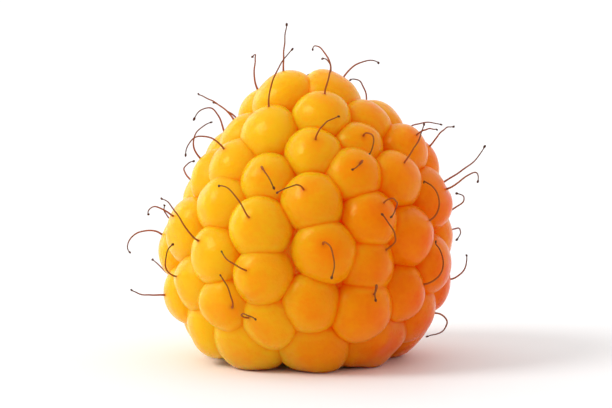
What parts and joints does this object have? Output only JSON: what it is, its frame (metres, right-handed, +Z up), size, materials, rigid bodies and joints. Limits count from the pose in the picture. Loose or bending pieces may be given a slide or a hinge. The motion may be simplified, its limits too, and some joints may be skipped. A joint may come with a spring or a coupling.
{
  "type": "raspberry",
  "caption": "Picked golden raspberry, a hollow thimble of drupelets with dried styles, standing on its open end.",
  "frame": {"origin": "on the surface that the fruit stands on, under the middle of its bounding box", "axes": "+Z up, from the open end to the tip of the fruit; the pictured side faces -Y"},
  "size_m": [0.0263, 0.0255, 0.0245],
  "materials": {
    "golden_flesh": "satin",
    "dry_style": "matte"
  },
  "bodies": {
    "root": {"fruit": "golden_flesh", "style_01": "dry_style", "style_02": "dry_style", "style_03": "dry_style", "style_04": "dry_style", "style_05": "dry_style", "style_06": "dry_style", "style_07": "dry_style", "style_08": "dry_style", "style_09": "dry_style", "style_10": "dry_style", "style_11": "dry_style", "style_12": "dry_style", "style_13": "dry_style", "style_14": "dry_style", "style_15": "dry_style", "style_16": "dry_style", "style_17": "dry_style", "style_18": "dry_style", "style_19": "dry_style", "style_20": "dry_style", "style_21": "dry_style", "style_22": "dry_style", "style_23": "dry_style", "style_24": "dry_style", "style_25": "dry_style", "style_26": "dry_style", "style_27": "dry_style", "style_28": "dry_style", "style_29": "dry_style", "style_30": "dry_style", "style_31": "dry_style", "style_32": "dry_style", "style_33": "dry_style", "style_34": "dry_style", "style_35": "dry_style", "style_36": "dry_style", "style_37": "dry_style", "style_38": "dry_style", "style_39": "dry_style", "style_40": "dry_style", "style_41": "dry_style", "style_42": "dry_style", "style_43": "dry_style", "style_44": "dry_style", "style_45": "dry_style", "style_46": "dry_style", "style_47": "dry_style", "style_48": "dry_style", "style_49": "dry_style", "style_50": "dry_style", "style_51": "dry_style", "style_52": "dry_style", "style_53": "dry_style", "style_54": "dry_style", "style_55": "dry_style", "style_56": "dry_style", "style_57": "dry_style", "style_58": "dry_style"}
  },
  "joints": []
}
